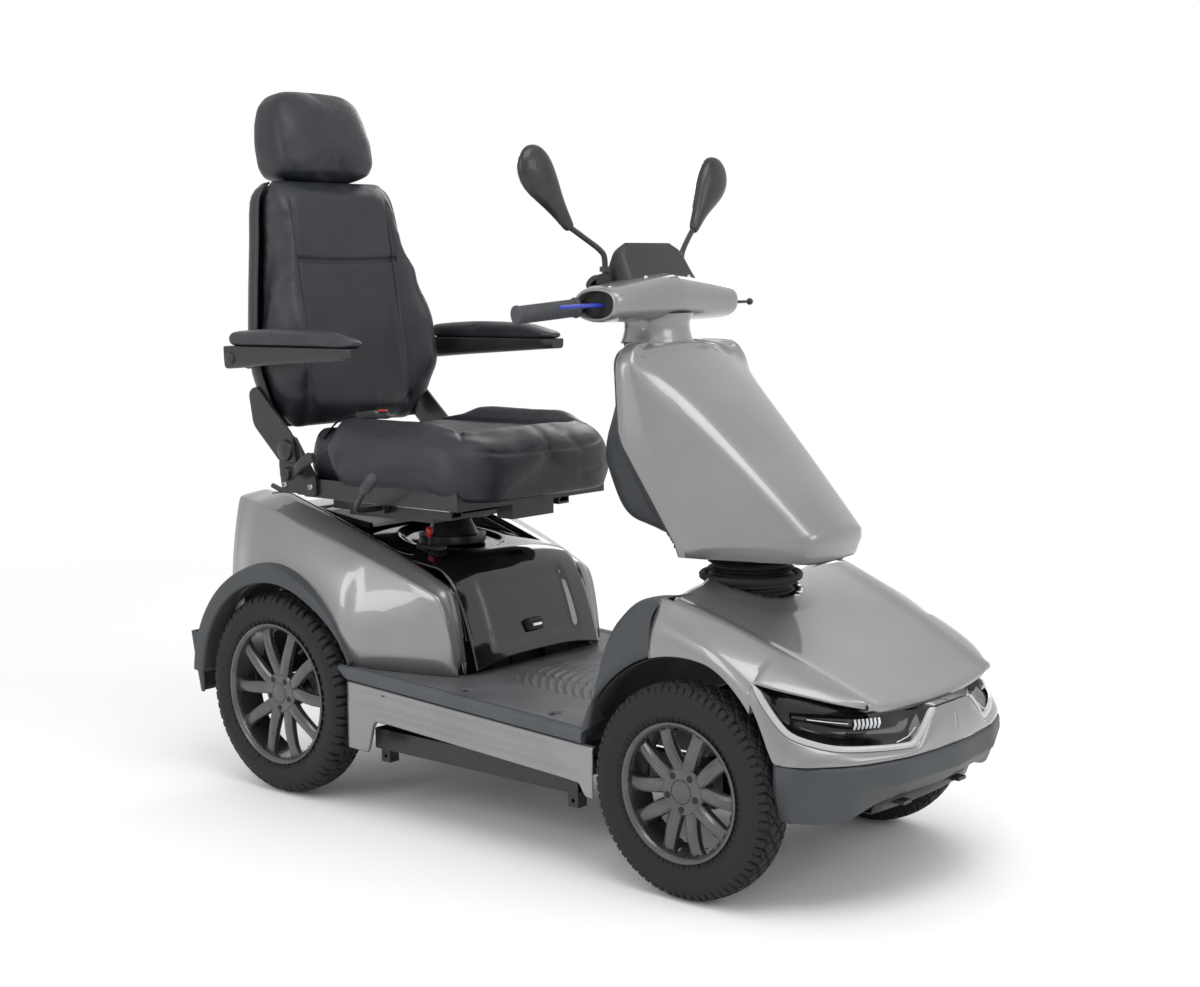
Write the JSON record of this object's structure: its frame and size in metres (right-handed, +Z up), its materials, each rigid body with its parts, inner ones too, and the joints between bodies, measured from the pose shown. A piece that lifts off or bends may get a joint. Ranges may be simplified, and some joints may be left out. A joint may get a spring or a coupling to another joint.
{
  "type": "mobility scooter",
  "caption": "Four-wheel mobility scooter with a captain seat, tilting steering tiller, mirrors and a flat footwell.",
  "frame": {"origin": "on the floor under the centre of the overall box; the middle of the wheelbase is 36.6 mm behind it, at y = +0.0366", "axes": "+Z up, -Y forward, so -X is the rider's right and +X the rider's left"},
  "size_m": [0.656, 1.6508, 1.4393],
  "materials": {
    "body_paint": "gloss",
    "trim_plastic": "matte",
    "gloss_black": "gloss",
    "black_plastic": "satin",
    "upholstery": "satin",
    "tyre_rubber": "matte",
    "soft_rubber": "matte",
    "alloy": "satin",
    "cast_metal": "satin",
    "black_steel": "satin",
    "bare_steel": "satin",
    "battery_case": "matte",
    "lamp_lens": "gloss",
    "red_lens": "gloss",
    "blue_plastic": "gloss",
    "red_plastic": "gloss"
  },
  "bodies": {
    "chassis": {"frame": "black_steel", "floor_mat": "soft_rubber", "side_skirts": "body_paint", "transaxle": "cast_metal", "motor": "black_steel", "batteries": "battery_case", "seat_post": "black_steel", "rear_fenders": "body_paint", "rear_flares": "trim_plastic", "rear_shroud": "gloss_black", "rear_panel": "trim_plastic", "tail_lamps": "red_lens", "hood": "body_paint", "fender_guards": "trim_plastic", "bumper": "trim_plastic", "nose_panel": "body_paint", "headlamps": "lamp_lens"},
    "column": {"steering_shaft": "bare_steel", "bellows": "soft_rubber"},
    "tiller": {"tiller_tube": "black_steel", "tiller_cowl": "body_paint", "tiller_back": "trim_plastic", "bar_housing": "body_paint", "handlebar": "black_steel", "grips": "soft_rubber", "console": "black_plastic", "charge_socket": "black_plastic"},
    "throttle": {"throttle_lever": "blue_plastic"},
    "brake": {"brake_lever": "black_plastic"},
    "mirror_right": {"mirror_r": "black_plastic"},
    "mirror_left": {"mirror_l": "black_plastic"},
    "ignition_key": {"key": "bare_steel"},
    "dial": {"speed_dial": "black_plastic"},
    "horn": {"horn_button": "red_plastic"},
    "knuckle_right": {"knuckle_r": "black_steel"},
    "knuckle_left": {"knuckle_l": "black_steel"},
    "track_rod": {"tie_rod": "black_steel"},
    "wheel_front_right": {"tyre_front_r": "tyre_rubber", "rim_front_r": "alloy"},
    "wheel_front_left": {"tyre_front_l": "tyre_rubber", "rim_front_l": "alloy"},
    "wheel_rear_right": {"tyre_rear_r": "tyre_rubber", "rim_rear_r": "alloy", "half_shaft_r": "bare_steel"},
    "wheel_rear_left": {"tyre_rear_l": "tyre_rubber", "rim_rear_l": "alloy", "half_shaft_l": "bare_steel"},
    "freewheel": {"freewheel_lever": "red_plastic"},
    "swivel": {"seat_swivel": "black_steel"},
    "seat": {"seat_frame": "black_steel", "seat_cushion": "upholstery", "belt_buckle": "black_plastic"},
    "slide_handle": {"slide_lever": "black_steel"},
    "recline_handle": {"recline_lever": "black_plastic"},
    "buckle_button": {"belt_button": "red_plastic"},
    "backrest": {"backrest_shell": "black_plastic", "backrest_cushion": "upholstery"},
    "head_rest": {"headrest": "upholstery"},
    "arm_right": {"armrest_r": "black_plastic"},
    "arm_left": {"armrest_l": "black_plastic"}
  },
  "joints": [
    {"name": "tiller_steer", "type": "hinge", "parent": "chassis", "child": "column", "pos_m": [0, -0.4004, 0.3], "axis": [0, 0, 1], "range_deg": [-28, 28]},
    {"name": "tiller_tilt", "type": "hinge", "parent": "column", "child": "tiller", "pos_m": [0, -0.4004, 0.508], "axis": [1, 0, 0], "range_deg": [-12, 10]},
    {"name": "throttle_squeeze", "type": "hinge", "parent": "tiller", "child": "throttle", "pos_m": [-0.132, -0.2014, 0.984], "axis": [0, 0, -1], "range_deg": [0, 9], "stiffness_Nm_per_rad": 0.5},
    {"name": "brake_squeeze", "type": "hinge", "parent": "tiller", "child": "brake", "pos_m": [0.132, -0.2014, 0.984], "axis": [0, 0, 1], "range_deg": [0, 10], "stiffness_Nm_per_rad": 1},
    {"name": "mirror_turn_r", "type": "hinge", "parent": "tiller", "child": "mirror_right", "pos_m": [-0.112, -0.1594, 1.03], "axis": [0, 0, 1], "range_deg": [-35, 35]},
    {"name": "mirror_turn_l", "type": "hinge", "parent": "tiller", "child": "mirror_left", "pos_m": [0.112, -0.1594, 1.03], "axis": [0, 0, 1], "range_deg": [-35, 35]},
    {"name": "key_turn", "type": "hinge", "parent": "tiller", "child": "ignition_key", "pos_m": [0.1, -0.1334, 1.016], "axis": [0, 0.766, 0.6428], "range_deg": [0, 60]},
    {"name": "dial_turn", "type": "hinge", "parent": "tiller", "child": "dial", "pos_m": [-0.1, -0.1334, 1.016], "axis": [0, 0.766, 0.6428], "range_deg": [-135, 135]},
    {"name": "horn_press", "type": "slide", "parent": "tiller", "child": "horn", "axis": [0, -1, 0], "range_m": [0, 0.0015], "stiffness_N_per_m": 300},
    {"name": "kingpin_r", "type": "hinge", "parent": "chassis", "child": "knuckle_right", "pos_m": [-0.225, -0.4794, 0.185], "axis": [0, 0, 1], "range_deg": [-23, 23]},
    {"name": "kingpin_l", "type": "hinge", "parent": "chassis", "child": "knuckle_left", "pos_m": [0.225, -0.4794, 0.185], "axis": [0, 0, 1], "range_deg": [-23, 23]},
    {"name": "track_rod_shift", "type": "slide", "parent": "chassis", "child": "track_rod", "axis": [1, 0, 0], "range_m": [-0.032, 0.032]},
    {"name": "front_spin_r", "type": "hinge", "parent": "knuckle_right", "child": "wheel_front_right", "pos_m": [-0.286, -0.4794, 0.185], "axis": [1, 0, 0], "continuous": true},
    {"name": "front_spin_l", "type": "hinge", "parent": "knuckle_left", "child": "wheel_front_left", "pos_m": [0.286, -0.4794, 0.185], "axis": [1, 0, 0], "continuous": true},
    {"name": "rear_spin_r", "type": "hinge", "parent": "chassis", "child": "wheel_rear_right", "pos_m": [-0.282, 0.5526, 0.205], "axis": [1, 0, 0], "continuous": true},
    {"name": "rear_spin_l", "type": "hinge", "parent": "chassis", "child": "wheel_rear_left", "pos_m": [0.282, 0.5526, 0.205], "axis": [1, 0, 0], "continuous": true},
    {"name": "freewheel_shift", "type": "hinge", "parent": "chassis", "child": "freewheel", "pos_m": [-0.1095, 0.3116, 0.462], "axis": [1, 0, 0], "range_deg": [0, 18]},
    {"name": "seat_turn", "type": "hinge", "parent": "chassis", "child": "swivel", "pos_m": [0, 0.3566, 0.5], "axis": [0, 0, 1], "range_deg": [-90, 90]},
    {"name": "seat_slide", "type": "slide", "parent": "swivel", "child": "seat", "axis": [0, 1, 0], "range_m": [-0.06, 0.06]},
    {"name": "slide_release", "type": "hinge", "parent": "seat", "child": "slide_handle", "pos_m": [-0.18, 0.3666, 0.584], "axis": [1, 0, 0], "range_deg": [0, 12], "stiffness_Nm_per_rad": 1},
    {"name": "recline_release", "type": "hinge", "parent": "seat", "child": "recline_handle", "pos_m": [-0.245, 0.5726, 0.646], "axis": [-1, 0, 0], "range_deg": [0, 20], "stiffness_Nm_per_rad": 1},
    {"name": "buckle_press", "type": "slide", "parent": "seat", "child": "buckle_button", "axis": [0, 0, -1], "range_m": [0, 0.0025], "stiffness_N_per_m": 300},
    {"name": "backrest_recline", "type": "hinge", "parent": "seat", "child": "backrest", "pos_m": [0, 0.6026, 0.69], "axis": [1, 0, 0], "range_deg": [-15, 15]},
    {"name": "headrest_height", "type": "slide", "parent": "backrest", "child": "head_rest", "axis": [0, 0.1219, 0.9925], "range_m": [0, 0.06]},
    {"name": "arm_lift_r", "type": "hinge", "parent": "backrest", "child": "arm_right", "pos_m": [-0.285, 0.6686, 0.88], "axis": [-1, 0, 0], "range_deg": [0, 85]},
    {"name": "arm_lift_l", "type": "hinge", "parent": "backrest", "child": "arm_left", "pos_m": [0.285, 0.6686, 0.88], "axis": [-1, 0, 0], "range_deg": [0, 85]}
  ],
  "couplings": [
    {"joint": "kingpin_r", "follows": "tiller_steer", "ratio": 0.8},
    {"joint": "kingpin_l", "follows": "tiller_steer", "ratio": 0.8},
    {"joint": "track_rod_shift", "follows": "tiller_steer", "m_per_rad": -0.0608}
  ]
}
